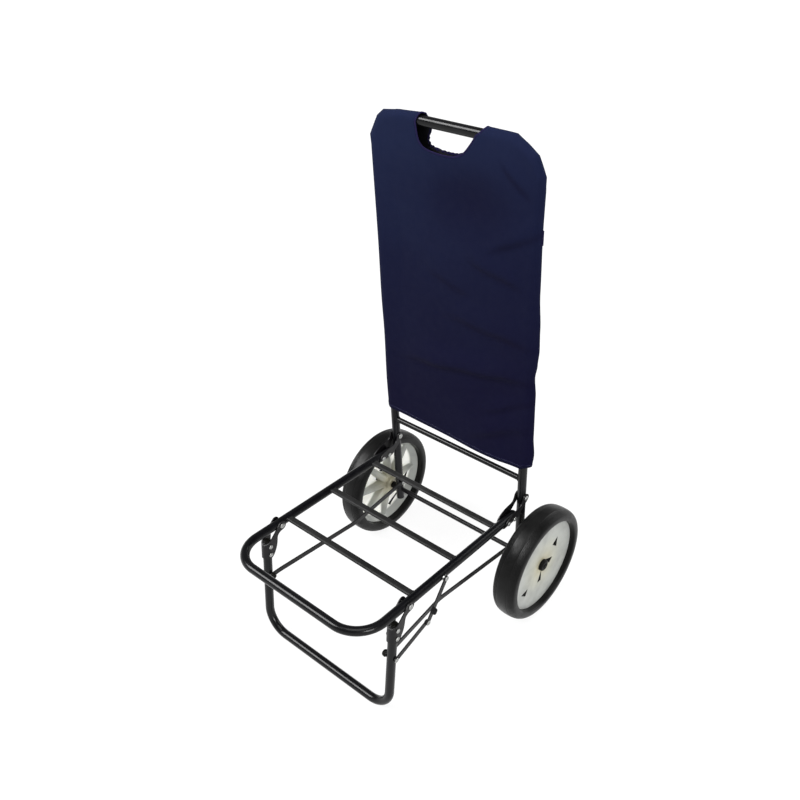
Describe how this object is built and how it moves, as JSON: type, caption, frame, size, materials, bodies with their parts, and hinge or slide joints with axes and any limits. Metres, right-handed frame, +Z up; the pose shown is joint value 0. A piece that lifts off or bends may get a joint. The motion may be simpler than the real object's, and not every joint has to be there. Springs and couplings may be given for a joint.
{
  "type": "folding shopping trolley",
  "caption": "Two-wheeled folding shopping trolley: leaning tube frame in a cloth cover, fold-up load platform with crossbars, and a linked leg loop.",
  "frame": {"origin": "middle of the bounding box on the floor, under the space between the wheels and the leg loop", "axes": "+Z up, +X along the axle towards the wheel beside the lock stay, -Y towards the load platform's nose"},
  "size_m": [0.482, 0.617, 0.9875],
  "materials": {
    "black_paint": "gloss black powder coat on steel tube",
    "black_steel": "satin black paint on pressed steel",
    "zinc": "dull zinc-plated rivet",
    "black_plastic": "moulded black plastic",
    "ivory_plastic": "moulded greenish ivory plastic, soft sheen",
    "tyre": "matt black rubber with fine rings",
    "navy_cloth": "plain-weave navy nylon cloth"
  },
  "bodies": {
    "frame": {"axle": "black_steel", "axle_cap_left": "black_plastic", "axle_cap_right": "black_plastic", "back_crossbar": "black_paint", "back_frame": "black_paint", "cover": "navy_cloth", "fold_pin_left": "zinc", "fold_pin_right": "zinc", "link_rear_pin_left": "zinc", "link_rear_pin_right": "zinc", "upright_plug_left": "black_plastic", "upright_plug_right": "black_plastic", "wheel_spacer_left": "black_plastic", "wheel_spacer_right": "black_plastic"},
    "wheel_left": {"tyre_left": "tyre", "hub_left": "ivory_plastic"},
    "wheel_right": {"tyre_right": "tyre", "hub_right": "ivory_plastic"},
    "platform": {"crossbar_front": "black_paint", "crossbar_middle": "black_paint", "crossbar_rear": "black_paint", "leg_pin_left": "zinc", "leg_pin_right": "zinc", "platform_frame": "black_paint", "rail_plug_left": "black_plastic", "rail_plug_right": "black_plastic", "rear_bracket_left": "black_steel", "rear_bracket_right": "black_steel", "rear_rivet_left_1": "zinc", "rear_rivet_left_2": "zinc", "rear_rivet_right_1": "zinc", "rear_rivet_right_2": "zinc", "stay_top_pin": "zinc", "stay_washer": "zinc"},
    "leg": {"front_bracket_left": "black_steel", "front_bracket_right": "black_steel", "front_rivet_left_1": "zinc", "front_rivet_left_2": "zinc", "front_rivet_right_1": "zinc", "front_rivet_right_2": "zinc", "leg_link_pin_left": "zinc", "leg_link_pin_right": "zinc", "leg_loop": "black_paint", "leg_plug_left": "black_plastic", "leg_plug_right": "black_plastic"},
    "link_left": {"fold_link_left": "black_steel", "link_front_pin_left": "zinc"},
    "link_right": {"fold_link_right": "black_steel", "link_front_pin_right": "zinc"},
    "stay_upper": {"stay_upper": "black_steel", "stay_mid_pin_outer": "zinc"},
    "stay_lower": {"stay_lower": "black_steel", "stay_mid_pin_inner": "zinc"}
  },
  "joints": [
    {"name": "platform_fold", "type": "hinge", "parent": "frame", "child": "platform", "pos_m": [0, 0.17205, 0.2835], "axis": [-1, 0, 0], "range_deg": [0, 86.5]},
    {"name": "leg_fold", "type": "hinge", "parent": "platform", "child": "leg", "pos_m": [0, -0.18043, 0.252], "axis": [1, 0, 0], "range_deg": [0, 79.29]},
    {"name": "link_left_fold", "type": "hinge", "parent": "frame", "child": "link_left", "pos_m": [-0.157, 0.18011, 0.15], "axis": [-1, 0, 0], "range_deg": [0, 73.88]},
    {"name": "link_right_fold", "type": "hinge", "parent": "frame", "child": "link_right", "pos_m": [0.157, 0.18011, 0.15], "axis": [-1, 0, 0], "range_deg": [0, 73.88]},
    {"name": "stay_upper_fold", "type": "hinge", "parent": "platform", "child": "stay_upper", "pos_m": [0.181, -0.084, 0.252], "axis": [1, 0, 0], "range_deg": [0, 104.14]},
    {"name": "stay_lower_fold", "type": "hinge", "parent": "leg", "child": "stay_lower", "pos_m": [0.179, -0.22077, 0.14699], "axis": [-1, 0, 0], "range_deg": [0, 79.9]},
    {"name": "wheel_left_spin", "type": "hinge", "parent": "frame", "child": "wheel_left", "pos_m": [-0.214, 0.1815, 0.127], "axis": [1, 0, 0], "continuous": true},
    {"name": "wheel_right_spin", "type": "hinge", "parent": "frame", "child": "wheel_right", "pos_m": [0.214, 0.1815, 0.127], "axis": [1, 0, 0], "continuous": true}
  ],
  "couplings": [
    {"joint": "leg_fold", "follows": "platform_fold", "ratio": 0.91667},
    {"joint": "link_left_fold", "follows": "platform_fold", "ratio": 0.85405},
    {"joint": "link_right_fold", "follows": "platform_fold", "ratio": 0.85405},
    {"joint": "stay_upper_fold", "follows": "platform_fold", "ratio": 1.2039},
    {"joint": "stay_lower_fold", "follows": "platform_fold", "ratio": 0.92366}
  ]
}
